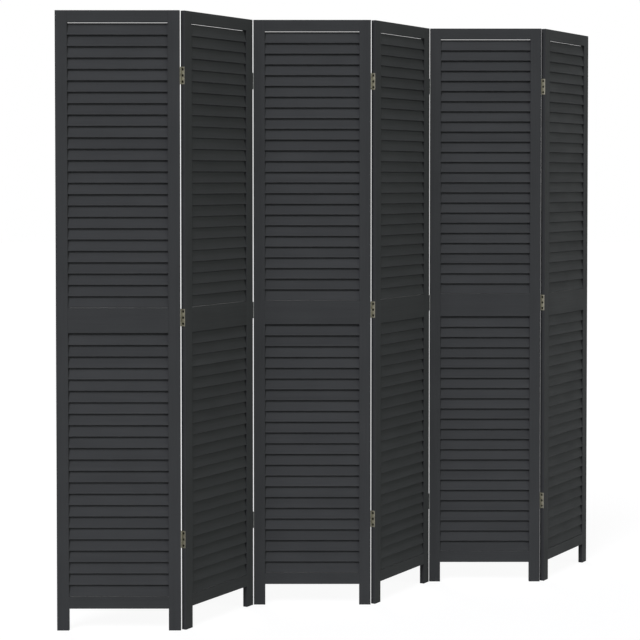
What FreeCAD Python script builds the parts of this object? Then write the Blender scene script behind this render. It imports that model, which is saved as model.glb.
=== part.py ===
import FreeCAD
import Part
import math
import os
import Sketcher
from FreeCAD import Placement, Rotation, Vector

# A six-panel louvred folding screen, in millimetres, standing half folded on the floor.
# Each panel is built in its own frame: X runs along the panel from its left edge,
# Y runs from the front face to the back face, and Z is the height above the floor.

PANELS = 6
KNUCKLES = 5

DIMENSIONS = (
    ("panel_height", 1750, "floor to the top of a panel"),
    ("panel_width", 350, "left edge to right edge of a panel"),
    ("panel_thickness", 14, "front face to back face of the frame"),
    ("stile_width", 34, "width of an upright"),
    ("edge_ease", 0.6, "radius on the long edges of uprights and rails"),
    ("end_chamfer", 0.5, "chamfer round the top end of an upright"),
    ("leg_height", 62, "floor to the underside of the bottom rail"),
    ("bottom_rail_height", 34, "height of the bottom rail"),
    ("middle_rail_base", 843.2, "floor to the underside of the middle rail"),
    ("middle_rail_height", 70.8, "height of the middle rail"),
    ("top_rail_height", 34, "height of the top rail"),
    ("tenon_length", 16, "length of a rail's tenon in the upright"),
    ("tenon_thickness", 5, "thickness of a tenon"),
    ("tenon_shoulder", 6, "rail edge to tenon edge"),
    ("mortise_clearance", 0.1, "room round a tenon in its mortise"),
    ("slat_width", 34, "long side of a slat's section"),
    ("slat_thickness", 4.5, "short side of a slat's section"),
    ("slat_ease", 0.7, "radius on the long edges of a slat"),
    ("slat_tilt", 13, "lean of a slat's top towards the back, in degrees"),
    ("slat_housing", 6, "length of a slat's end inside the upright"),
    ("slat_clearance", 0.15, "room round a slat's end in its housing"),
    ("upper_top_gap", 1.2, "top slat of the upper bank to the top rail"),
    ("lower_top_gap", 0.4, "top slat of the lower bank to the middle rail"),
    ("slat_foot_gap", 0.4, "lowest slat of a bank to the rail below it"),
    ("upper_slat_count", 25, "slats between the top and middle rails"),
    ("lower_slat_count", 23, "slats between the middle and bottom rails"),
    ("fold_angle", 59, "turn between neighbouring panels as the screen stands, in degrees"),
    ("panel_gap", 0.6, "edge to edge of two panels opened flat"),
    ("low_hinge_height", 256.5, "floor to the centre of the low hinges"),
    ("middle_hinge_height", 886, "floor to the centre of the middle hinges"),
    ("high_hinge_height", 1568, "floor to the centre of the high hinges"),
    ("hinge_length", 49, "height of a hinge"),
    ("hinge_offset", 1.65, "panel face to the hinge axis"),
    ("barrel_radius", 1.45, "outer radius of a hinge barrel"),
    ("knuckle_gap", 0.3, "room between neighbouring knuckles"),
    ("pin_radius", 0.75, "radius of a hinge pin"),
    ("pin_clearance", 0.05, "radial running clearance between a pin and a turning knuckle"),
    ("leaf_width", 13, "reach of a leaf across the panel's edge"),
    ("leaf_thickness", 0.9, "thickness of a leaf"),
    ("leaf_recess", 0.7, "depth to which a leaf is let into the upright"),
    ("screw_spacing", 17.4, "centre to centre of the screws in a leaf"),
    ("screw_length", 13, "overall length of a hinge screw"),
    ("screw_head_radius", 3.4, "radius of a countersunk screw head"),
    ("screw_shank_radius", 1.3, "radius of a screw shank"),
    ("screw_clearance", 0.1, "room round a screw in its leaf and in the wood"),
    ("screw_slot_width", 0.7, "width of the driver slot in a screw head"),
    ("screw_slot_depth", 0.5, "depth of the driver slot in a screw head"),
)

THICKNESS = "dim.panel_thickness"
RAIL_LENGTH = "(dim.panel_width - 2 * dim.stile_width)"
SLAT_RISE = "(dim.slat_width * cos(dim.slat_tilt) + dim.slat_thickness * sin(dim.slat_tilt))"
LEAF_PROUD = "(dim.leaf_thickness - dim.leaf_recess)"
KNUCKLE = f"((dim.hinge_length - {KNUCKLES - 1} * dim.knuckle_gap) / {KNUCKLES})"
HINGES = ("dim.low_hinge_height", "dim.middle_hinge_height", "dim.high_hinge_height")
SCREW_ROWS = (-1, 0, 1)

# Each rail as its name, the height of its underside and its own height.
RAILS = (
    ("bottom_rail", "dim.leg_height", "dim.bottom_rail_height"),
    ("middle_rail", "dim.middle_rail_base", "dim.middle_rail_height"),
    ("top_rail", "(dim.panel_height - dim.top_rail_height)", "dim.top_rail_height"),
)

# Each bank of slats as its name, the heights between which it lies, the gap over it and its count.
BANKS = (
    (
        "lower",
        "(dim.leg_height + dim.bottom_rail_height)",
        "dim.middle_rail_base",
        "dim.lower_top_gap",
        "dim.lower_slat_count",
    ),
    (
        "upper",
        "(dim.middle_rail_base + dim.middle_rail_height)",
        "(dim.panel_height - dim.top_rail_height)",
        "dim.upper_top_gap",
        "dim.upper_slat_count",
    ),
)

doc = FreeCAD.newDocument("folding_screen")
sheet = doc.addObject("Spreadsheet::Sheet", "dim")
sub_parts = []


def fill_sheet():
    """Write every driving dimension with its alias and its meaning."""
    for row, (alias, number, meaning) in enumerate(DIMENSIONS, 1):
        sheet.set(f"A{row}", alias)
        sheet.set(f"B{row}", str(number))
        sheet.setAlias(f"B{row}", alias)
        sheet.set(f"C{row}", meaning)
    doc.recompute()


def worth(expression):
    """The present number behind an expression over the sheet."""
    return float(sheet.evalExpression(expression))


def new_body(label):
    """An empty body that may hold several separate solids."""
    body = doc.addObject("PartDesign::Body", label)
    body.Label = label
    body.AllowCompound = True
    sub_parts.append(body)
    return body


def origin_feature(body, role):
    """The plane or axis of the body's own origin that has this role."""
    return next(f for f in body.Origin.OriginFeatures if f.Role == role)


def new_sketch(body, name, plane, **offsets):
    """A sketch on an origin plane, moved by the expressions given for x, y, z and turn.

    x and y move along the sketch's own axes, z along its normal, and turn is about its normal.
    """
    sketch = body.newObject("Sketcher::SketchObject", name)
    sketch.AttachmentSupport = [(origin_feature(body, plane), "")]
    sketch.MapMode = "FlatFace"
    sketch.AttachmentOffset = Placement(Vector(), Rotation(Vector(0, 0, 1), 0))
    turn = offsets.pop("turn", None)
    for axis, expression in offsets.items():
        sketch.setExpression(f"AttachmentOffset.Base.{axis}", expression)
    if turn:
        sketch.setExpression("AttachmentOffset.Rotation.Angle", turn)
    return sketch


def edge_sketch(body, name, x):
    """A sketch across the panel at x, whose axes are the panel's Y and Z."""
    return new_sketch(body, name, "YZ_Plane", z=x)


def bind(sketch, kind, *places, expression):
    """Add a dimension between sketch points and tie it to the sheet."""
    index = sketch.addConstraint(Sketcher.Constraint(kind, *places, worth(expression)))
    sketch.setExpression(f"Constraints[{index}]", expression)


def bind_sides(sketch, bottom, right, top, left, x_low, x_high, y_low, y_high):
    """Level the four sides and tie their distances from the sketch's origin to the sheet."""
    for line in (bottom, top):
        sketch.addConstraint(Sketcher.Constraint("Horizontal", line))
    for line in (right, left):
        sketch.addConstraint(Sketcher.Constraint("Vertical", line))
    bind(sketch, "DistanceX", -1, 1, left, 1, expression=x_low)
    bind(sketch, "DistanceX", -1, 1, right, 1, expression=x_high)
    bind(sketch, "DistanceY", -1, 1, bottom, 1, expression=y_low)
    bind(sketch, "DistanceY", -1, 1, top, 1, expression=y_high)


def rectangle(sketch, x_low, x_high, y_low, y_high):
    """Draw a rectangle between two pairs of expressions."""
    x0, x1, y0, y1 = (worth(e) for e in (x_low, x_high, y_low, y_high))
    corners = [Vector(x0, y0), Vector(x1, y0), Vector(x1, y1), Vector(x0, y1)]
    first = sketch.GeometryCount
    for start, end in zip(corners, corners[1:] + corners[:1]):
        sketch.addGeometry(Part.LineSegment(start, end))
    lines = [first + i for i in range(4)]
    for line, after in zip(lines, lines[1:] + lines[:1]):
        sketch.addConstraint(Sketcher.Constraint("Coincident", line, 2, after, 1))
    bind_sides(sketch, *lines, x_low, x_high, y_low, y_high)


def rounded_rectangle(sketch, x_low, x_high, y_low, y_high, radius):
    """Draw a rectangle whose four corners are equal quarter circles."""
    x0, x1, y0, y1, r = (worth(e) for e in (x_low, x_high, y_low, y_high, radius))
    centres = [
        Vector(x1 - r, y0 + r),
        Vector(x1 - r, y1 - r),
        Vector(x0 + r, y1 - r),
        Vector(x0 + r, y0 + r),
    ]
    quarter = math.pi / 2
    arcs = [
        Part.ArcOfCircle(Part.Circle(c, Vector(0, 0, 1), r), (i - 1) * quarter, i * quarter)
        for i, c in enumerate(centres)
    ]
    first = sketch.GeometryCount
    for before, arc in zip(arcs[-1:] + arcs[:-1], arcs):
        sketch.addGeometry(Part.LineSegment(before.EndPoint, arc.StartPoint))
        sketch.addGeometry(arc)
    ring = [first + i for i in range(8)]
    for here, after in zip(ring, ring[1:] + ring[:1]):
        sketch.addConstraint(Sketcher.Constraint("Tangent", here, 2, after, 1))
    for arc in ring[3::2]:
        sketch.addConstraint(Sketcher.Constraint("Equal", ring[1], arc))
    bind(sketch, "Radius", ring[1], expression=radius)
    bind_sides(sketch, *ring[0::2], x_low, x_high, y_low, y_high)


def circle(sketch, x, y, radius):
    """Draw a circle at a pair of expressions."""
    centre = Vector(worth(x), worth(y))
    index = sketch.addGeometry(Part.Circle(centre, Vector(0, 0, 1), worth(radius)))
    bind(sketch, "DistanceX", -1, 1, index, 3, expression=x)
    bind(sketch, "DistanceY", -1, 1, index, 3, expression=y)
    bind(sketch, "Radius", index, expression=radius)


def new_feature(body, kind, sketch, **sizes):
    """A sketch-based feature with its sizes tied to the sheet."""
    feature = body.newObject(f"PartDesign::{kind}", f"{sketch.Name}_{kind}")
    feature.Profile = sketch
    for size, expression in sizes.items():
        feature.setExpression(size, expression)
    return feature


def pad(body, sketch, length, reverse=False, **sizes):
    """Thicken the sketch along its normal, or against it."""
    feature = new_feature(body, "Pad", sketch, Length=length, **sizes)
    feature.Reversed = reverse
    return feature


def turned(body, kind, sketch):
    """Turn the sketch all the way round its own upright axis."""
    feature = new_feature(body, kind, sketch)
    feature.ReferenceAxis = (sketch, ["V_Axis"])
    feature.Angle = 360
    return feature


def pocket(body, sketch, depth, reverse=False, **sizes):
    """Cut the sketch into the body against its normal, or along it, and see that it cut."""
    before = body_volume(body)
    feature = new_feature(body, "Pocket", sketch, Length=depth, **sizes)
    feature.Reversed = reverse
    feature.Refine = False
    require_cut(body, before, feature.Name)
    return feature


def body_volume(body):
    doc.recompute()
    return body.Shape.Volume


def require_cut(body, before, name):
    if not body_volume(body) < before:
        raise RuntimeError(f"{name} removed nothing from {body.Label}")


def stacked(body, feature, pitch, count):
    """Repeat a feature upwards at an even pitch."""
    pattern = body.newObject("PartDesign::LinearPattern", f"{feature.Name}_bank")
    pattern.Originals = [feature]
    pattern.Refine = False
    pattern.Direction = (origin_feature(body, "Z_Axis"), [""])
    pattern.Mode = "Spacing"
    pattern.setExpression("Offset", pitch)
    pattern.setExpression("Occurrences", count)
    body.Tip = pattern
    return pattern


def slat_sketch(body, name, x, foot):
    """A sketch centred on a bank's lowest slat and leaning back with it."""
    height = f"{foot} + dim.slat_foot_gap + {SLAT_RISE} / 2"
    return new_sketch(
        body, name, "YZ_Plane", x=f"{THICKNESS} / 2", y=height, z=x, turn="-dim.slat_tilt"
    )


def slat_pitch(foot, top, gap, count):
    """The spacing that spreads a bank's slats between its two rails."""
    room = f"{top} - {foot} - {gap} - dim.slat_foot_gap - {SLAT_RISE}"
    return f"({room}) / ({count} - 1)"


def edge_x(side):
    """Where the panel's left or right edge lies."""
    return "0" if side == "left" else "dim.panel_width"


def outward(side):
    """The sign of X that points out of this edge of the panel."""
    return "-" if side == "left" else "+"


def barrel_at_back(joint):
    """Hinges alternate, so the screen folds like a bellows, starting behind the first panel."""
    return joint % 2 == 1


def joint_at(panel, side):
    """The number of the hinge joint on this edge, or None at an end of the screen."""
    joint = panel - 1 if side == "left" else panel
    return joint if 0 < joint < PANELS else None


def leaf_span(joint):
    """The reach of a leaf across the panel's edge, starting from the face with the barrel."""
    if barrel_at_back(joint):
        return f"{THICKNESS} - dim.leaf_width", THICKNESS
    return "0", "dim.leaf_width"


def axis_y(joint):
    """How far behind the panel's front face the hinge axis lies."""
    return f"({THICKNESS} + dim.hinge_offset)" if barrel_at_back(joint) else "-dim.hinge_offset"


def screw_places(joint):
    """Y and Z of every hinge screw on an edge: three in each of the three leaves."""
    y_low, y_high = leaf_span(joint)
    for hinge in HINGES:
        for row in SCREW_ROWS:
            yield f"({y_low} + {y_high}) / 2", f"{hinge} + {row} * dim.screw_spacing"


def leaf_rectangles(sketch, joint):
    """The outline of the three leaves on an edge of a panel."""
    for hinge in HINGES:
        half = "dim.hinge_length / 2"
        rectangle(sketch, *leaf_span(joint), f"{hinge} - {half}", f"{hinge} + {half}")


def knuckle_heights(first):
    """The foot and head of every other knuckle of the three hinges, from the given one up."""
    for hinge in HINGES:
        for place in range(first, KNUCKLES, 2):
            foot = f"{hinge} - dim.hinge_length / 2 + {place} * ({KNUCKLE} + dim.knuckle_gap)"
            yield foot, f"{foot} + {KNUCKLE}"


def axis_sketch(body, name, side, joint):
    """A sketch through the hinge axis, which is its upright axis."""
    x = f"{edge_x(side)} {outward(side)} dim.panel_gap / 2"
    return new_sketch(body, name, "XZ_Plane", x=x, z=f"-({axis_y(joint)})")


def make_stile(panel, side):
    """An upright with its mortises, slat housings, leaf recesses and pilot holes."""
    body = new_body(f"panel_{panel}_{side}_stile")
    name = body.Name
    right = side == "right"
    inner = "dim.panel_width - dim.stile_width" if right else "dim.stile_width"
    x_low, x_high = (inner, edge_x(side)) if right else (edge_x(side), inner)
    section = new_sketch(body, f"{name}_section", "XY_Plane")
    rounded_rectangle(section, x_low, x_high, "0", THICKNESS, "dim.edge_ease")
    post = pad(body, section, "dim.panel_height")
    doc.recompute()
    top = max(range(len(post.Shape.Faces)), key=lambda i: post.Shape.Faces[i].CenterOfMass.z)
    easing = body.newObject("PartDesign::Chamfer", f"{name}_top")
    easing.Base = (post, [f"Face{top + 1}"])
    easing.setExpression("Size", "dim.end_chamfer")

    joint = joint_at(panel, side)
    if joint:
        recesses = edge_sketch(body, f"{name}_recesses", edge_x(side))
        leaf_rectangles(recesses, joint)
        pocket(body, recesses, "dim.leaf_recess", not right)
        pilots = edge_sketch(body, f"{name}_pilots", edge_x(side))
        for y, z in screw_places(joint):
            circle(pilots, y, z, "dim.screw_shank_radius + dim.screw_clearance")
        depth = f"dim.screw_length - {LEAF_PROUD} + dim.screw_clearance"
        pocket(body, pilots, depth, not right)

    mortises = edge_sketch(body, f"{name}_mortises", inner)
    for _, base, height in RAILS:
        half = "(dim.tenon_thickness / 2 + dim.mortise_clearance)"
        inset = "(dim.tenon_shoulder - dim.mortise_clearance)"
        y_low, y_high = f"{THICKNESS} / 2 - {half}", f"{THICKNESS} / 2 + {half}"
        rectangle(mortises, y_low, y_high, f"{base} + {inset}", f"{base} + {height} - {inset}")
    pocket(body, mortises, "dim.tenon_length + dim.mortise_clearance", right)

    for bank, foot, top_of_bank, gap, count in BANKS:
        housing = slat_sketch(body, f"{name}_{bank}", inner, foot)
        across = "(dim.slat_thickness / 2 + dim.slat_clearance)"
        along = "(dim.slat_width / 2 + dim.slat_clearance)"
        rectangle(housing, f"-{across}", across, f"-{along}", along)
        cut = pocket(body, housing, "dim.slat_housing + dim.slat_clearance", right)
        stacked(body, cut, slat_pitch(foot, top_of_bank, gap, count), count)
    return body


def make_rail(panel, rail, base, height):
    """A rail between the uprights, with a tenon at each end."""
    body = new_body(f"panel_{panel}_{rail}")
    name = body.Name
    section = edge_sketch(body, f"{name}_section", "dim.stile_width")
    rounded_rectangle(section, "0", THICKNESS, base, f"{base} + {height}", "dim.edge_ease")
    pad(body, section, RAIL_LENGTH)
    tenon = edge_sketch(body, f"{name}_tenon", "dim.stile_width - dim.tenon_length")
    y_low = f"({THICKNESS} - dim.tenon_thickness) / 2"
    y_high = f"({THICKNESS} + dim.tenon_thickness) / 2"
    z_low, z_high = f"{base} + dim.tenon_shoulder", f"{base} + {height} - dim.tenon_shoulder"
    rectangle(tenon, y_low, y_high, z_low, z_high)
    pad(body, tenon, f"{RAIL_LENGTH} + 2 * dim.tenon_length")
    return body


def make_slats(panel):
    """Both banks of leaning slats, housed at each end in the uprights."""
    body = new_body(f"panel_{panel}_slats")
    for bank, foot, top, gap, count in BANKS:
        x = "dim.stile_width - dim.slat_housing"
        section = slat_sketch(body, f"{body.Name}_{bank}", x, foot)
        across, along = "dim.slat_thickness / 2", "dim.slat_width / 2"
        rounded_rectangle(section, f"-{across}", across, f"-{along}", along, "dim.slat_ease")
        slat = pad(body, section, f"{RAIL_LENGTH} + 2 * dim.slat_housing")
        doc.recompute()
        stacked(body, slat, slat_pitch(foot, top, gap, count), count)
        doc.recompute()
    return body


def make_leaves(panel, side):
    """The three hinge leaves on one edge: plates, knuckles, pin bore and countersunk holes."""
    joint = joint_at(panel, side)
    right = side == "right"
    body = new_body(f"hinge_{joint}_{joint + 1}_{'left' if right else 'right'}_leaves")
    name = body.Name
    seat = f"{edge_x(side)} {'-' if right else '+'} dim.leaf_recess"
    face = f"{edge_x(side)} {outward(side)} {LEAF_PROUD}"
    first = 0 if right else 1

    plates = edge_sketch(body, f"{name}_plates", seat)
    leaf_rectangles(plates, joint)
    pad(body, plates, "dim.leaf_thickness", not right)

    necks = edge_sketch(body, f"{name}_necks", seat)
    y_low, y_high = leaf_span(joint)
    reach = (y_low, axis_y(joint)) if barrel_at_back(joint) else (axis_y(joint), y_high)
    for foot, head in knuckle_heights(first):
        rectangle(necks, *reach, foot, head)
    pad(body, necks, "dim.leaf_thickness", not right)

    knuckles = axis_sketch(body, f"{name}_knuckles", side, joint)
    for foot, head in knuckle_heights(first):
        rectangle(knuckles, "0", "dim.barrel_radius", foot, head)
    turned(body, "Revolution", knuckles)

    before = body_volume(body)
    bore = axis_sketch(body, f"{name}_bore", side, joint)
    radius = "dim.pin_radius" if right else "dim.pin_radius + dim.pin_clearance"
    for hinge in HINGES:
        half = "dim.hinge_length / 2"
        rectangle(bore, "0", radius, f"{hinge} - {half}", f"{hinge} + {half}")
    require_cut(body, before, turned(body, "Groove", bore).Name)

    sinks = edge_sketch(body, f"{name}_sinks", face)
    for y, z in screw_places(joint):
        circle(sinks, y, z, "dim.screw_head_radius + dim.screw_clearance")
    pocket(body, sinks, "dim.leaf_thickness", not right, TaperAngle=head_taper())
    return body


def head_taper():
    """The slope that brings a screw head down to its shank in a leaf's thickness."""
    drop = "(dim.screw_shank_radius - dim.screw_head_radius)"
    return f"atan({drop} / dim.leaf_thickness)"


def make_pins(joint):
    """The three hinge pins of a joint, in the frame of the panel on its left."""
    body = new_body(f"hinge_{joint}_{joint + 1}_pins")
    section = axis_sketch(body, f"{body.Name}_section", "right", joint)
    for hinge in HINGES:
        half = "dim.hinge_length / 2"
        rectangle(section, "0", "dim.pin_radius", f"{hinge} - {half}", f"{hinge} + {half}")
    turned(body, "Revolution", section)
    return body


def make_screws(panel):
    """The countersunk slotted screws in the leaves on both edges of a panel."""
    body = new_body(f"panel_{panel}_hinge_screws")
    for side in ("left", "right"):
        joint = joint_at(panel, side)
        if not joint:
            continue
        name = f"{body.Name}_{side}"
        right = side == "right"
        face = f"{edge_x(side)} {outward(side)} {LEAF_PROUD}"
        seat = f"{edge_x(side)} {'-' if right else '+'} dim.leaf_recess"
        heads = edge_sketch(body, f"{name}_heads", face)
        shanks = edge_sketch(body, f"{name}_shanks", seat)
        slots = edge_sketch(body, f"{name}_slots", face)
        for y, z in screw_places(joint):
            reach, half = "dim.screw_head_radius", "dim.screw_slot_width / 2"
            circle(heads, y, z, "dim.screw_head_radius")
            circle(shanks, y, z, "dim.screw_shank_radius")
            rectangle(slots, f"{y} - {reach}", f"{y} + {reach}", f"{z} - {half}", f"{z} + {half}")
        pad(body, heads, "dim.leaf_thickness", right, TaperAngle=head_taper())
        pad(body, shanks, "dim.screw_length - dim.leaf_thickness", right)
        pocket(body, slots, "dim.screw_slot_depth", not right)
    return body


def panel_frames():
    """The frame of each panel as the screen stands, centred over its own outline."""
    width, thickness = worth("dim.panel_width"), worth(THICKNESS)
    half_gap = worth("dim.panel_gap / 2")
    frames = [Placement()]
    for joint in range(1, PANELS):
        y = worth(axis_y(joint))
        turn = worth("dim.fold_angle") * (1 if barrel_at_back(joint) else -1)
        swing = Placement(Vector(width + half_gap, y, 0), Rotation(Vector(0, 0, 1), turn))
        back = Placement(Vector(half_gap, -y, 0), Rotation())
        frames.append(frames[-1] * swing * back)
    ease = worth("dim.edge_ease")
    corners = [
        frame.multVec(Vector(x, y, 0))
        for frame in frames
        for x in (ease, width - ease)
        for y in (ease, thickness - ease)
    ]
    xs, ys = [c.x for c in corners], [c.y for c in corners]
    centre = Vector((min(xs) + max(xs)) / 2, (min(ys) + max(ys)) / 2, 0)
    shift = Placement(-centre, Rotation())
    return [shift * frame for frame in frames]


def make_panel(panel, frame):
    """Every piece that moves with one panel, placed where the panel stands."""
    bodies = [make_rail(panel, *rail) for rail in RAILS]
    bodies.append(make_slats(panel))
    for side in ("left", "right"):
        bodies.append(make_stile(panel, side))
        if joint_at(panel, side):
            bodies.append(make_leaves(panel, side))
    if joint_at(panel, "right"):
        bodies.append(make_pins(panel))
    bodies.append(make_screws(panel))
    for body in bodies:
        body.Placement = frame


def check_model():
    """Stop if anything in the document failed or a sub-part has no sound shape."""
    doc.recompute()
    for item in doc.Objects:
        if "Invalid" in item.State or "Error" in item.State:
            raise RuntimeError(f"{item.Label} failed: {item.State}")
    for body in sub_parts:
        if body.Shape.isNull() or not body.Shape.isValid():
            raise RuntimeError(f"{body.Label} has no valid shape")


def write_parts():
    os.makedirs("parts", exist_ok=True)
    for body in sub_parts:
        body.Shape.exportStep(f"parts/{body.Label}.step")


fill_sheet()
for number, frame in enumerate(panel_frames(), 1):
    make_panel(number, frame)
check_model()
write_parts()
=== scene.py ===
"""Looks of a six-panel louvred folding screen, painted dark grey and hung on brass butt hinges.

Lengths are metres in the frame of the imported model: X to the right, Y to the back, Z up from the floor.
"""

import math

import bpy
import numpy as np
from bpy.props import FloatProperty, FloatVectorProperty, IntProperty, PointerProperty
from mathutils import Euler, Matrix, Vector


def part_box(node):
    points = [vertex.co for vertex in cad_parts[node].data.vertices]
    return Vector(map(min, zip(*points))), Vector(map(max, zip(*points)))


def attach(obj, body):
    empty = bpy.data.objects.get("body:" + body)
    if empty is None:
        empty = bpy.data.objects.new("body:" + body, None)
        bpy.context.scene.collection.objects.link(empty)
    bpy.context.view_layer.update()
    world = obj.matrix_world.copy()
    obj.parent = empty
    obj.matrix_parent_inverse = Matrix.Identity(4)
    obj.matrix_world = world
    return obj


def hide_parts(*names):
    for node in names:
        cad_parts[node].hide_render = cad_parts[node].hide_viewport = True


bl_info = {
    "name": "Folding Screen",
    "version": (1, 0, 0),
    "blender": (4, 5, 0),
    "location": "3D View > Sidebar > Folding Screen",
    "description": "Dresses a louvred folding screen: slats, painted frames, brass hinges and a studio stage",
    "category": "Object",
}

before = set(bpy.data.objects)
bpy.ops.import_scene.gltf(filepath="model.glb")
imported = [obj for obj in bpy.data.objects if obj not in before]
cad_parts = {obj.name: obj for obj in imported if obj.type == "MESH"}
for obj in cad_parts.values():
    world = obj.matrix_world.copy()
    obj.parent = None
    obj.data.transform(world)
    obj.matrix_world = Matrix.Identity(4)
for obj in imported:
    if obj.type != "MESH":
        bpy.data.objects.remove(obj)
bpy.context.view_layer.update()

PANELS = range(1, 7)
JOINTS = range(1, 6)
RAILS = ("bottom_rail", "middle_rail", "top_rail")
STILES = ("left_stile", "right_stile")
LAMP_DISTANCE = 10.0

# How far the flat part of a slat's face stays from its rounded edges.
SLAT_FLAT_INSET = 0.003

# Paint: sizes in metres, noise values between 0 and 1, and shares of the whole tone.
BOARD_SPACING = 9.0
FIGURE_STRETCH = 7
CLOUD_SIZE = 0.16
RUB_SIZE = 0.02
GRAIN_SHARE = 0.3
FIGURE_SHARE = 0.35
CLOUD_SHARE = 0.35
BOARD_SHARE = 0.15
TONE_RANGE = (0.3, 0.7)
ARRIS_RANGE = (0.75, 1.0)
RUB_RANGE = (0.42, 0.68)
RUB_COVER = (0.1, 0.6)
PAINT_EDGE = 0.0015
PAINT_SHEEN_RANGE = (0.7, 1.3)
PAINT_SHEEN_SWING = 0.07
RIPPLE_STRENGTH = 0.5
RIPPLE_SHARE = 0.25

# Metal: drawn lines, edges and the least and most cover of the film on each kind.
LINE_PITCH = 0.0003
LINE_LENGTH = 0.012
LINE_DEPTH = 0.00003
LINE_STRENGTH = 0.6
PATCH_RANGE = (0.35, 0.68)
METAL_EDGE = 0.0004
EDGE_SHINE = 1.25
METAL_SHEEN_RANGE = (0.3, 1.4)
METAL_SMOOTHER = 0.1
METAL_ROUGHER = 0.16
LEAF_FILM = (0.1, 0.65)
PIN_FILM = (0.1, 0.6)
# The next film is for the darker grey copy of the brass, which is painted shade.
SHADED_BRASS_FILM = (0.2, 0.8)
SCREW_FILM = (0.1, 0.7)

# Edge marks: how far a rounded normal has to turn to start and to fill the mark.
EDGE_RANGE = (0.03, 0.3)

# Brightness of the open floor that makes its shown part white.
SHADOW_GAIN = 1.3


# Properties


class LouvreSizes(bpy.types.PropertyGroup):
    """Sizes of the slats and how they stand between the rails."""

    length: FloatProperty(
        name="Length", description="Slat from end to end, housed ends included",
        default=0.294, min=0.05, unit="LENGTH",
    )
    width: FloatProperty(
        name="Width", description="Long side of a slat's section",
        default=0.034, min=0.01, unit="LENGTH",
    )
    thickness: FloatProperty(
        name="Thickness", description="Short side of a slat's section",
        default=0.0045, min=0.002, unit="LENGTH",
    )
    ease: FloatProperty(
        name="Edge radius", description="Rounding of a slat's long edges",
        default=0.0007, min=0.0001, unit="LENGTH",
    )
    tilt: FloatProperty(
        name="Lean", description="Lean of a slat's top towards the back",
        default=math.radians(13), subtype="ANGLE",
    )
    upper_top_gap: FloatProperty(
        name="Upper top gap", description="Top slat of the upper bank to the top rail",
        default=0.0012, min=0, unit="LENGTH",
    )
    lower_top_gap: FloatProperty(
        name="Lower top gap", description="Top slat of the lower bank to the middle rail",
        default=0.0004, min=0, unit="LENGTH",
    )
    foot_gap: FloatProperty(
        name="Foot gap", description="Lowest slat of a bank to the rail below it",
        default=0.0004, min=0, unit="LENGTH",
    )
    upper_count: IntProperty(
        name="Upper slats", description="Slats between the middle and top rails", default=25, min=2
    )
    lower_count: IntProperty(
        name="Lower slats", description="Slats between the bottom and middle rails", default=23, min=2
    )
    seed: IntProperty(
        name="Seed", description="Start of the draw that gives each slat its own board", default=7, min=0
    )


class PaintLook(bpy.types.PropertyGroup):
    """The dark grey paint on uprights, rails and slats, and the wood under it."""

    frame_colour: FloatVectorProperty(
        name="Frame paint", description="Paint on uprights and rails",
        subtype="COLOR", size=3, min=0, max=1, default=(0.0420, 0.0438, 0.0450),
    )
    slat_colour: FloatVectorProperty(
        name="Slat paint", description="Paint on the slats",
        subtype="COLOR", size=3, min=0, max=1, default=(0.0420, 0.0438, 0.0452),
    )
    rubbed_colour: FloatVectorProperty(
        name="Rubbed paint", description="Paint that handling has worn thin along the edges",
        subtype="COLOR", size=3, min=0, max=1, default=(0.075, 0.075, 0.076),
    )
    variation: FloatProperty(
        name="Tone variation", description="How far the paint's tone wanders over the wood",
        subtype="FACTOR", min=0, max=1, default=0.12,
    )
    roughness: FloatProperty(
        name="Roughness", description="Mean roughness of the matt paint",
        subtype="FACTOR", min=0, max=1, default=0.66,
    )
    specular: FloatProperty(
        name="Sheen level", description="Strength of the paint's reflection",
        subtype="FACTOR", min=0, max=1, default=0.04,
    )
    grain_length: FloatProperty(
        name="Grain length", description="Length of a streak of grain",
        default=0.11, min=0.001, unit="LENGTH",
    )
    grain_pitch: FloatProperty(
        name="Grain pitch", description="Streak to streak across the grain",
        default=0.0026, min=0.0001, unit="LENGTH",
    )
    grain_depth: FloatProperty(
        name="Grain depth", description="Relief of the grain under the paint",
        default=0.00012, min=0, unit="LENGTH",
    )
    peel_pitch: FloatProperty(
        name="Film ripple pitch", description="Ripple to ripple in the sprayed film",
        default=0.0014, min=0.0001, unit="LENGTH",
    )


class BrassLook(bpy.types.PropertyGroup):
    """The metal of the hinges, brass or a darker grey copy of it as painted shade, and of their blackened
    screws.
    """

    leaf_colour: FloatVectorProperty(
        name="Leaf brass", description="Clean brass of leaves and knuckles",
        subtype="COLOR", size=3, min=0, max=1, default=(0.425, 0.412, 0.352),
    )
    pin_colour: FloatVectorProperty(
        name="Pin brass", description="Clean brass of the pins",
        subtype="COLOR", size=3, min=0, max=1, default=(0.41, 0.40, 0.345),
    )
    screw_colour: FloatVectorProperty(
        name="Screw metal", description="Blackened metal of the screws",
        subtype="COLOR", size=3, min=0, max=1, default=(0.024, 0.021, 0.014),
    )
    tarnish_colour: FloatVectorProperty(
        name="Tarnish", description="Brown film on brass that is never polished",
        subtype="COLOR", size=3, min=0, max=1, default=(0.17, 0.16, 0.12),
    )
    # Painted shade: a darker grey copy of the brass, and its film, for the hinges whose barrels face the
    # front.
    shaded_brass_colour: FloatVectorProperty(
        name="Brass in painted shade", description="Darker grey copy of the brass, painted shade on the hinges whose barrels face the front",
        subtype="COLOR", size=3, min=0, max=1, default=(0.235, 0.24, 0.236),
    )
    shaded_brass_film_colour: FloatVectorProperty(
        name="Film on the shaded brass", description="Dark film on the darker grey copy of the brass",
        subtype="COLOR", size=3, min=0, max=1, default=(0.125, 0.13, 0.127),
    )
    grime_colour: FloatVectorProperty(
        name="Grime", description="Dark dirt in and round the screw heads",
        subtype="COLOR", size=3, min=0, max=1, default=(0.010, 0.009, 0.006),
    )
    roughness: FloatProperty(
        name="Roughness", description="Mean roughness of the brass",
        subtype="FACTOR", min=0, max=1, default=0.4,
    )
    patch_size: FloatProperty(
        name="Tarnish patch", description="Size of a patch of tarnish",
        default=0.006, min=0.0005, unit="LENGTH",
    )


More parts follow.
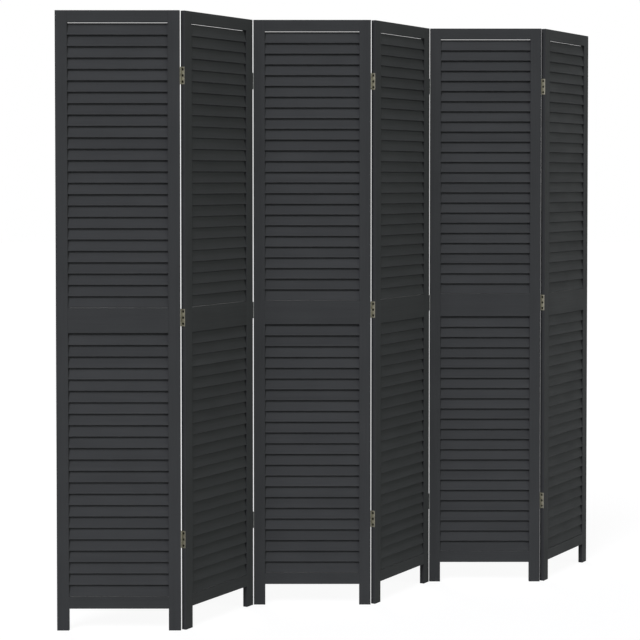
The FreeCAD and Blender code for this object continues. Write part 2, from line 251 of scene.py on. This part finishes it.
class StageLook(bpy.types.PropertyGroup):
    """Floor, light and camera."""

    floor_colour: FloatVectorProperty(
        name="Floor", description="Colour of the floor in the light that it throws back",
        subtype="COLOR", size=3, min=0, max=1, default=(0.5, 0.5, 0.5),
    )
    floor_shadow: FloatProperty(
        name="Floor shadow", description="How deep the screen's shadow on the white floor may get",
        subtype="FACTOR", min=0, max=1, default=0.1,
    )
    floor_size: FloatProperty(
        name="Floor size", description="Side of the square floor", default=60.0, min=4, unit="LENGTH"
    )
    ambient: FloatProperty(
        name="Ambient", description="Even light from all round", default=0.19, min=0
    )
    key_strength: FloatProperty(
        name="Key", description="Strength of the far light in front, on the left", default=2.36, min=0
    )
    key_bearing: FloatProperty(
        name="Key bearing", description="Turn of the key light from straight in front, to the right",
        default=math.radians(-25), subtype="ANGLE",
    )
    key_height: FloatProperty(
        name="Key height", description="Angle of the key light over the floor",
        default=math.radians(43), subtype="ANGLE",
    )
    key_spread: FloatProperty(
        name="Key spread", description="Angle that the key light takes up, which softens its shadows",
        default=math.radians(28), min=0, subtype="ANGLE",
    )
    key_colour: FloatVectorProperty(
        name="Key colour", description="Colour of the key light",
        subtype="COLOR", size=3, min=0, soft_max=1, default=(0.98, 0.97, 1.05),
    )
    fill_strength: FloatProperty(
        name="Fill", description="Strength of the far light on the right", default=0.91, min=0
    )
    fill_bearing: FloatProperty(
        name="Fill bearing", description="Turn of the fill light from straight in front, to the right",
        default=math.radians(65), subtype="ANGLE",
    )
    fill_height: FloatProperty(
        name="Fill height", description="Angle of the fill light over the floor",
        default=math.radians(17), subtype="ANGLE",
    )
    fill_spread: FloatProperty(
        name="Fill spread", description="Angle that the fill light takes up, which softens its shadows",
        default=math.radians(40), min=0, subtype="ANGLE",
    )
    fill_colour: FloatVectorProperty(
        name="Fill colour", description="Colour of the fill light",
        subtype="COLOR", size=3, min=0, soft_max=1, default=(0.98, 1.04, 0.94),
    )
    back_strength: FloatProperty(
        name="Back", description="Strength of the far light behind, on the left", default=2.0, min=0
    )
    back_bearing: FloatProperty(
        name="Back bearing", description="Turn of the back light from straight in front, to the right",
        default=math.radians(-160), subtype="ANGLE",
    )
    back_height: FloatProperty(
        name="Back height", description="Angle of the back light over the floor",
        default=math.radians(18), subtype="ANGLE",
    )
    back_spread: FloatProperty(
        name="Back spread", description="Angle that the back light takes up, which softens its shadows",
        default=math.radians(20), min=0, subtype="ANGLE",
    )
    back_colour: FloatVectorProperty(
        name="Back colour", description="Colour of the back light",
        subtype="COLOR", size=3, min=0, soft_max=1, default=(1.0, 1.0, 1.0),
    )
    lens: FloatProperty(
        name="Lens", description="Focal length on a 36 mm sensor", default=101.26, min=10, subtype="NONE"
    )
    eye: FloatVectorProperty(
        name="Eye", description="Where the camera stands",
        subtype="TRANSLATION", unit="LENGTH", size=3, default=(-0.0866, -5.5258, 1.2791),
    )
    pitch: FloatProperty(
        name="Pitch", description="How far the camera looks down",
        default=math.radians(1.659), subtype="ANGLE",
    )
    yaw: FloatProperty(
        name="Yaw", description="How far the camera looks to the right",
        default=math.radians(0.139), subtype="ANGLE",
    )
    shift: FloatProperty(
        name="Shift", description="Upward shift of the lens, as a share of the frame", default=-0.14
    )


class ScreenLook(bpy.types.PropertyGroup):
    """Everything about the screen that a user would change."""

    fold: FloatProperty(
        name="Fold", description="Turn of every second panel as the screen stands",
        default=math.radians(59), subtype="ANGLE",
    )
    louvres: PointerProperty(type=LouvreSizes)
    paint: PointerProperty(type=PaintLook)
    brass: PointerProperty(type=BrassLook)
    stage: PointerProperty(type=StageLook)


# Surfaces


def rounded_section(across, along, radius, support, steps=4):
    """Ring of a rectangle across by along whose corners are quarter circles.

    Each corner point is the corner circle's centre plus radius times (cos t, sin t), t running
    over a quarter turn. Two support points on each long side stand support in from the corners.
    Returns points, outward normals and a mark that is 1 on the corners and 0 on the supports.
    """
    turn = np.arange(4)[:, None] * math.pi / 2 + np.linspace(0, math.pi / 2, steps)[None, :]
    way = np.stack([np.cos(turn), np.sin(turn)], -1)
    signs = np.array([(1, 1), (-1, 1), (-1, -1), (1, -1)], float)
    centres = signs * (np.array([across, along]) / 2 - radius)
    corners = centres[:, None, :] + radius * way
    inset = along / 2 - support
    front = np.array([(-across / 2, inset), (-across / 2, -inset)])
    back = -front
    flat = np.array([(-1.0, 0.0), (-1.0, 0.0)])
    points = np.concatenate([*corners[:2], front, *corners[2:], back])
    normals = np.concatenate([*way[:2], flat, *way[2:], -flat])
    mark = np.concatenate([np.ones(2 * steps), np.zeros(2)] * 2)
    return points, normals, mark


def leaning(pairs, tilt):
    """Turn (depth, height) pairs about the slat's length, so that its top goes to the back."""
    depth, height = pairs[..., 0], pairs[..., 1]
    c, s = math.cos(tilt), math.sin(tilt)
    return np.stack([depth * c + height * s, height * c - depth * s], -1)


def turned_plan(points, angle):
    """Turn points about the upright axis."""
    c, s = math.cos(angle), math.sin(angle)
    return points @ np.array([(c, s, 0.0), (-s, c, 0.0), (0.0, 0.0, 1.0)])


def prism_faces(count, ring):
    """Faces of count prisms of ring sides each: the side quads, and a cap at each end."""
    first = np.arange(count)[:, None] * 2 * ring
    near = first + np.arange(ring)
    far = near + ring
    quads = np.stack([near, np.roll(near, -1, 1), np.roll(far, -1, 1), far], -1)
    return quads.reshape(-1, 4), near[:, ::-1], far


def new_piece(name, points, faces, corner_normals):
    """A mesh object at the origin with its shading normals given at every face corner."""
    mesh = bpy.data.meshes.new(name)
    mesh.from_pydata(points.tolist(), [], faces)
    mesh.polygons.foreach_set("use_smooth", np.ones(len(mesh.polygons), bool))
    mesh.normals_split_custom_set(corner_normals.tolist())
    if mesh.validate():
        raise RuntimeError(f"{name} has faulty faces")
    piece = bpy.data.objects.new(name, mesh)
    bpy.context.scene.collection.objects.link(piece)
    return piece


def mark_points(piece, name, values):
    """Keep one number per point for the piece's material."""
    attribute = piece.data.attributes.new(name, "FLOAT", "POINT")
    attribute.data.foreach_set("value", np.ascontiguousarray(values, np.float32).ravel())


def panel_place(number, fold):
    """Plan centre of a panel, which is the middle of its top rail, and its turn."""
    low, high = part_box(f"panel_{number}_top_rail")
    centre = (low + high) / 2
    return np.array([centre.x, centre.y, 0.0]), fold if number % 2 == 0 else 0.0


def slat_heights(number, sizes):
    """Heights of the slats' middles: each bank is spread evenly between its two rails."""
    rise = sizes.width * math.cos(sizes.tilt) + sizes.thickness * math.sin(sizes.tilt)
    bottom, middle, top = (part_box(f"panel_{number}_{rail}") for rail in RAILS)
    banks = (
        (bottom[1].z, middle[0].z, sizes.lower_top_gap, sizes.lower_count),
        (middle[1].z, top[0].z, sizes.upper_top_gap, sizes.upper_count),
    )
    return np.concatenate(
        [
            np.linspace(foot + sizes.foot_gap + rise / 2, head - gap - rise / 2, count)
            for foot, head, gap, count in banks
        ]
    )


def make_louvres(number, sizes, fold, draw):
    """All the slats of a panel: one leaning rounded section carried along each slat's length."""
    outline = (sizes.thickness, sizes.width, sizes.ease, SLAT_FLAT_INSET)
    section, section_normals, arris = rounded_section(*outline)
    section = leaning(section, sizes.tilt)
    section_normals = leaning(section_normals, sizes.tilt)
    heights = slat_heights(number, sizes)
    ends = np.array([-sizes.length / 2, sizes.length / 2])
    count, ring = len(heights), len(section)

    points = np.empty((count, 2, ring, 3))
    points[..., 0] = ends[None, :, None]
    points[..., 1] = section[None, None, :, 0]
    points[..., 2] = heights[:, None, None] + section[None, None, :, 1]
    centre, turn = panel_place(number, fold)
    points = turned_plan(points.reshape(-1, 3), turn) + centre

    quads, near, far = prism_faces(count, ring)
    side = np.column_stack([np.zeros(ring), section_normals])
    following = np.roll(side, -1, 0)
    side_corners = np.tile(np.stack([side, following, following, side], 1).reshape(-1, 3), (count, 1))
    cap_corners = np.zeros((count * ring * 2, 3))
    cap_corners[: count * ring, 0] = -1
    cap_corners[count * ring :, 0] = 1
    normals = turned_plan(np.concatenate([side_corners, cap_corners]), turn)
    piece = new_piece(f"louvres_{number}", points, [*quads.tolist(), *near.tolist(), *far.tolist()], normals)
    mark_points(piece, "arris", np.tile(arris, 2 * count))
    mark_points(piece, "board", np.repeat(draw.random(count), 2 * ring))
    return piece


# Finishes


class Nodes:
    """A shader tree that is filled one node at a time."""

    def __init__(self, owner):
        owner.use_nodes = True
        self.tree = owner.node_tree
        self.tree.nodes.clear()

    def add(self, kind, inputs=None, **settings):
        """A node with its settings, and its inputs set to a number or joined to a socket."""
        node = self.tree.nodes.new(f"ShaderNode{kind}")
        for name, value in settings.items():
            setattr(node, name, value)
        for name, value in (inputs or {}).items():
            if isinstance(value, bpy.types.NodeSocket):
                self.tree.links.new(value, node.inputs[name])
            else:
                node.inputs[name].default_value = value
        return node

    def math(self, operation, first, second):
        """Two values put together by an operation."""
        return self.add("Math", {0: first, 1: second}, operation=operation).outputs[0]

    def ramp(self, value, low, high, to_low=0.0, to_high=1.0):
        """A value stretched from one range to another and held at its ends."""
        inputs = {"Value": value, "From Min": low, "From Max": high, "To Min": to_low, "To Max": to_high}
        return self.add("MapRange", inputs).outputs["Result"]

    def noise(self, place, scale, detail=3.0, roughness=0.55):
        """Noise on a place that is first stretched along its axes."""
        stretched = self.add("VectorMath", {0: place, 1: scale}, operation="MULTIPLY").outputs[0]
        inputs = {"Vector": stretched, "Scale": 1.0, "Detail": detail, "Roughness": roughness}
        return self.add("TexNoise", inputs, noise_dimensions="3D").outputs["Fac"]

    def blend(self, share, first, second):
        """A colour between two colours."""
        node = self.add("Mix", data_type="RGBA")
        for socket, value in ((node.inputs[0], share), (node.inputs[6], first), (node.inputs[7], second)):
            if isinstance(value, bpy.types.NodeSocket):
                self.tree.links.new(value, socket)
            else:
                socket.default_value = value
        return node.outputs[2]

    def edges(self, radius):
        """A mark on the edges of a solid: where the normal of a rounded copy leaves its own."""
        rounded = self.add("Bevel", {"Radius": radius}, samples=6).outputs[0]
        own = self.add("NewGeometry").outputs["Normal"]
        alike = self.add("VectorMath", {0: rounded, 1: own}, operation="DOT_PRODUCT").outputs["Value"]
        return self.ramp(self.math("SUBTRACT", 1.0, alike), *EDGE_RANGE)


def opaque(colour, factor=1.0):
    """A colour with full cover, scaled in brightness."""
    return (*(channel * factor for channel in colour), 1.0)


def even(size):
    """The same noise scale along all three axes, from the size of a patch."""
    return (1 / size,) * 3


def paint_material(name, look, colour, turn, along, slats=False):
    """Matt paint over wood whose grain runs along axis 0, 1 or 2 of a place turned with the panel.

    The tone wanders with the boards and the film, the grain shows as a shallow relief under a
    finer ripple of the film, and the edges are rubbed thin in places.
    """
    material = bpy.data.materials.new(name)
    nodes = Nodes(material)
    place = nodes.add("TexCoord").outputs["Object"]
    place = nodes.add("Mapping", {"Vector": place, "Rotation": (0, 0, -turn)}).outputs[0]
    if slats:
        board = nodes.add("Attribute", attribute_name="board").outputs["Fac"]
        apart = nodes.add("CombineXYZ", {0: nodes.math("MULTIPLY", board, BOARD_SPACING)}).outputs[0]
        place = nodes.add("VectorMath", {0: place, 1: apart}, operation="ADD").outputs[0]
    streak = [1 / look.grain_pitch] * 3
    streak[along] = 1 / look.grain_length
    grain = nodes.noise(place, streak, detail=4.0, roughness=0.6)
    figure = nodes.noise(place, [s / FIGURE_STRETCH for s in streak], detail=2.0)
    cloud = nodes.noise(place, even(CLOUD_SIZE), detail=2.0)
    peel = nodes.noise(place, even(look.peel_pitch), detail=1.0)

    tone = nodes.math("MULTIPLY", grain, GRAIN_SHARE)
    tone = nodes.math("ADD", tone, nodes.math("MULTIPLY", figure, FIGURE_SHARE))
    tone = nodes.math("ADD", tone, nodes.math("MULTIPLY", cloud, CLOUD_SHARE))
    if slats:
        own = nodes.math("MULTIPLY", nodes.math("SUBTRACT", board, 0.5), BOARD_SHARE)
        tone = nodes.math("ADD", tone, own)
    tone = nodes.ramp(tone, *TONE_RANGE)
    colour_here = nodes.blend(tone, opaque(colour, 1 - look.variation), opaque(colour, 1 + look.variation))

    if slats:
        edge = nodes.add("Attribute", attribute_name="arris").outputs["Fac"]
        edge = nodes.ramp(edge, *ARRIS_RANGE)
    else:
        edge = nodes.edges(PAINT_EDGE)
    patches = nodes.noise(place, even(RUB_SIZE), detail=4.0, roughness=0.65)
    rubbed = nodes.math("MULTIPLY", nodes.ramp(patches, *RUB_RANGE, *RUB_COVER), edge)
    colour_here = nodes.blend(rubbed, colour_here, opaque(look.rubbed_colour))

    roughest, smoothest = look.roughness + PAINT_SHEEN_SWING, look.roughness - PAINT_SHEEN_SWING
    rough = nodes.ramp(nodes.math("ADD", cloud, grain), *PAINT_SHEEN_RANGE, roughest, smoothest)
    relief = nodes.add("Bump", {"Strength": 1.0, "Distance": look.grain_depth, "Height": grain}).outputs[0]
    ripple = {
        "Strength": RIPPLE_STRENGTH,
        "Distance": look.grain_depth * RIPPLE_SHARE,
        "Height": peel,
        "Normal": relief,
    }
    relief = nodes.add("Bump", ripple).outputs[0]
    shader = {
        "Base Color": colour_here,
        "Roughness": rough,
        "Specular IOR Level": look.specular,
        "Normal": relief,
    }
    surface = nodes.add("BsdfPrincipled", shader).outputs[0]
    nodes.add("OutputMaterial", {"Surface": surface})
    return material


def brass_material(name, look, colour, film, cover):
    """Dull, unpolished metal: drawn lines along its height, patches of a darker film, and brighter rubbed
    edges.
    """
    material = bpy.data.materials.new(name)
    nodes = Nodes(material)
    place = nodes.add("TexCoord").outputs["Object"]
    lines = nodes.noise(place, (1 / LINE_PITCH, 1 / LINE_PITCH, 1 / LINE_LENGTH), detail=2.0)
    patches = nodes.noise(place, even(look.patch_size), detail=5.0, roughness=0.62)
    tarnish = nodes.ramp(patches, *PATCH_RANGE, *cover)
    colour_here = nodes.blend(tarnish, opaque(colour), opaque(film))
    colour_here = nodes.blend(nodes.edges(METAL_EDGE), colour_here, opaque(colour, EDGE_SHINE))
    smoothest, roughest = look.roughness - METAL_SMOOTHER, look.roughness + METAL_ROUGHER
    rough = nodes.ramp(nodes.math("ADD", tarnish, lines), *METAL_SHEEN_RANGE, smoothest, roughest)
    drawn = {"Strength": LINE_STRENGTH, "Distance": LINE_DEPTH, "Height": lines}
    relief = nodes.add("Bump", drawn).outputs[0]
    shader = {"Base Color": colour_here, "Metallic": 1.0, "Roughness": rough, "Normal": relief}
    surface = nodes.add("BsdfPrincipled", shader).outputs[0]
    nodes.add("OutputMaterial", {"Surface": surface})
    return material


def dress(node, material):
    """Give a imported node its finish."""
    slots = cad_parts[node].material_slots
    if not slots:
        raise RuntimeError(f"{node} has no material slot")
    for slot in slots:
        slot.material = material


def floor_material(look):
    """Floor that shows as white with a faint shadow to the eye, and lights the screen as a plain floor."""
    material = bpy.data.materials.new("pale_floor")
    nodes = Nodes(material)
    plain = nodes.add("BsdfDiffuse", {"Color": opaque(look.floor_colour)}).outputs[0]
    white = nodes.add("Emission", {"Color": (1, 1, 1, 1), "Strength": 1 - look.floor_shadow}).outputs[0]
    shadow = nodes.add("BsdfDiffuse", {"Color": (SHADOW_GAIN * look.floor_shadow,) * 3 + (1,)}).outputs[0]
    shown = nodes.add("AddShader", {0: white, 1: shadow}).outputs[0]
    surface = nodes.add("MixShader", {0: seen_directly(nodes), 1: plain, 2: shown}).outputs[0]
    nodes.add("OutputMaterial", {"Surface": surface})
    return material


def seen_directly(nodes):
    """One for rays from the eye, from reflections and through glass, and nought for lighting."""
    path = nodes.add("LightPath").outputs
    seen = nodes.math("MAXIMUM", path["Is Camera Ray"], path["Is Glossy Ray"])
    return nodes.math("MAXIMUM", seen, path["Is Transmission Ray"])


def light_world(ambient):
    """White all round to the eye, and even soft light for the screen."""
    world = bpy.data.worlds.new("studio")
    bpy.context.scene.world = world
    nodes = Nodes(world)
    strength = nodes.ramp(seen_directly(nodes), 0.0, 1.0, ambient, 1.0)
    light = nodes.add("Background", {"Color": (1, 1, 1, 1), "Strength": strength}).outputs[0]
    nodes.add("OutputWorld", {"Surface": light})


def add_floor(look):
    """A flat square under the screen."""
    half = look.floor_size / 2
    corners = np.array([(-half, -half, 0), (half, -half, 0), (half, half, 0), (-half, half, 0)])
    floor = new_piece("floor", corners, [[0, 1, 2, 3]], np.tile((0.0, 0.0, 1.0), (4, 1)))
    floor.data.materials.append(floor_material(look))


def add_lamp(name, bearing, height, strength, spread, colour):
    """A far soft light that shines on the screen from a bearing and a height."""
    lamp = bpy.data.lights.new(name, "SUN")
    lamp.energy = strength
    lamp.angle = spread
    lamp.color = colour
    holder = bpy.data.objects.new(name, lamp)
    bpy.context.scene.collection.objects.link(holder)
    level = math.cos(height)
    way = Vector((math.sin(bearing) * level, -math.cos(bearing) * level, math.sin(height)))
    holder.location = way * LAMP_DISTANCE
    holder.rotation_euler = (-way).to_track_quat("-Z", "Y").to_euler()


def add_camera(look):
    """The eye of the photograph, turned a little down so that the lens needs less shift."""
    lens = bpy.data.cameras.new("eye")
    lens.lens = look.lens
    lens.shift_y = look.shift
    eye = bpy.data.objects.new("eye", lens)
    bpy.context.scene.collection.objects.link(eye)
    eye.location = look.eye
    eye.rotation_euler = Euler((math.pi / 2 - look.pitch, 0.0, -look.yaw))
    bpy.context.scene.camera = eye


# Operators


class SCREEN_OT_louvres(bpy.types.Operator):
    """Build the slats of every panel and paint them"""

    bl_idname = "screen_dresser.louvres"
    bl_label = "Build slats"

    def execute(self, context):
        look = context.scene.screen_look
        draw = np.random.default_rng(look.louvres.seed)
        paints = [
            paint_material(f"slat_paint_{name}", look.paint, look.paint.slat_colour, turn, 0, slats=True)
            for name, turn in (("turned", look.fold), ("straight", 0.0))
        ]
        for number in PANELS:
            piece = make_louvres(number, look.louvres, look.fold, draw)
            piece.data.materials.append(paints[number % 2])
            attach(piece, f"panel_{number}")
            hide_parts(f"panel_{number}_slats")
        return {"FINISHED"}


class SCREEN_OT_frames(bpy.types.Operator):
    """Paint the uprights and rails of every panel"""

    bl_idname = "screen_dresser.frames"
    bl_label = "Paint frames"

    def execute(self, context):
        look = context.scene.screen_look
        colour = look.paint.frame_colour
        upright = paint_material("stile_paint", look.paint, colour, 0.0, 2)
        rails = [
            paint_material(f"rail_paint_{name}", look.paint, colour, turn, 0)
            for name, turn in (("turned", look.fold), ("straight", 0.0))
        ]
        for number in PANELS:
            for stile in STILES:
                dress(f"panel_{number}_{stile}", upright)
            for rail in RAILS:
                dress(f"panel_{number}_{rail}", rails[number % 2])
        return {"FINISHED"}


class SCREEN_OT_hinges(bpy.types.Operator):
    """Finish the hinge leaves and pins in brass, or in a darker grey copy of it as painted shade where the
    barrel is in front
    """

    bl_idname = "screen_dresser.hinges"
    bl_label = "Finish hinges"

    def execute(self, context):
        look = context.scene.screen_look.brass
        leaf = brass_material("leaf_brass", look, look.leaf_colour, look.tarnish_colour, LEAF_FILM)
        pin = brass_material("pin_brass", look, look.pin_colour, look.tarnish_colour, PIN_FILM)
        # Painted shade: where the barrel is in front, leaves and pins get a darker grey copy of the brass.
        shaded_copy = brass_material("dull_brass", look, look.shaded_brass_colour, look.shaded_brass_film_colour, SHADED_BRASS_FILM)
        for joint in JOINTS:
            hinge = f"hinge_{joint}_{joint + 1}"
            barrel_in_front = joint % 2 == 0
            leaf_here, pin_here = (shaded_copy, shaded_copy) if barrel_in_front else (leaf, pin)
            dress(f"{hinge}_left_leaves", leaf_here)
            dress(f"{hinge}_right_leaves", leaf_here)
            dress(f"{hinge}_pins", pin_here)
        return {"FINISHED"}


class SCREEN_OT_screws(bpy.types.Operator):
    """Finish the hinge screws in blackened metal"""

    bl_idname = "screen_dresser.screws"
    bl_label = "Finish screws"

    def execute(self, context):
        look = context.scene.screen_look.brass
        screw = brass_material("screw_metal", look, look.screw_colour, look.grime_colour, SCREW_FILM)
        for number in PANELS:
            dress(f"panel_{number}_hinge_screws", screw)
        return {"FINISHED"}


class SCREEN_OT_stage(bpy.types.Operator):
    """Lay the floor, light the screen and place the camera"""

    bl_idname = "screen_dresser.stage"
    bl_label = "Set stage"

    def execute(self, context):
        look = context.scene.screen_look.stage
        add_floor(look)
        light_world(look.ambient)
        for name in ("key", "fill", "back"):
            aspects = ("bearing", "height", "strength", "spread", "colour")
            add_lamp(name, *(getattr(look, f"{name}_{aspect}") for aspect in aspects))
        add_camera(look)
        context.scene.view_settings.view_transform = "Standard"
        return {"FINISHED"}


class SCREEN_PT_dresser(bpy.types.Panel):
    """Steps that dress the screen, and what they use"""

    bl_idname = "SCREEN_PT_dresser"
    bl_label = "Folding Screen"
    bl_space_type = "VIEW_3D"
    bl_region_type = "UI"
    bl_category = "Folding Screen"

    def draw(self, context):
        look = context.scene.screen_look
        for operator in OPERATORS:
            self.layout.operator(operator.bl_idname)
        self.layout.prop(look, "fold")
        for group in (look.louvres, look.paint, look.brass, look.stage):
            box = self.layout.box()
            for name in group.__annotations__:
                box.prop(group, name)


OPERATORS = (SCREEN_OT_louvres, SCREEN_OT_frames, SCREEN_OT_hinges, SCREEN_OT_screws, SCREEN_OT_stage)
GROUPS = (LouvreSizes, PaintLook, BrassLook, StageLook, ScreenLook)
CLASSES = (*GROUPS, *OPERATORS, SCREEN_PT_dresser)


def register():
    """Make the steps, their panel and their values known to Blender."""
    for kind in CLASSES:
        bpy.utils.register_class(kind)
    bpy.types.Scene.screen_look = PointerProperty(type=ScreenLook)


def unregister():
    """Undo what register did."""
    del bpy.types.Scene.screen_look
    for kind in reversed(CLASSES):
        bpy.utils.unregister_class(kind)


def main():
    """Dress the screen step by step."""
    register()
    for step in ("louvres", "frames", "hinges", "screws", "stage"):
        getattr(bpy.ops.screen_dresser, step)()


if __name__ == "__main__":
    main()
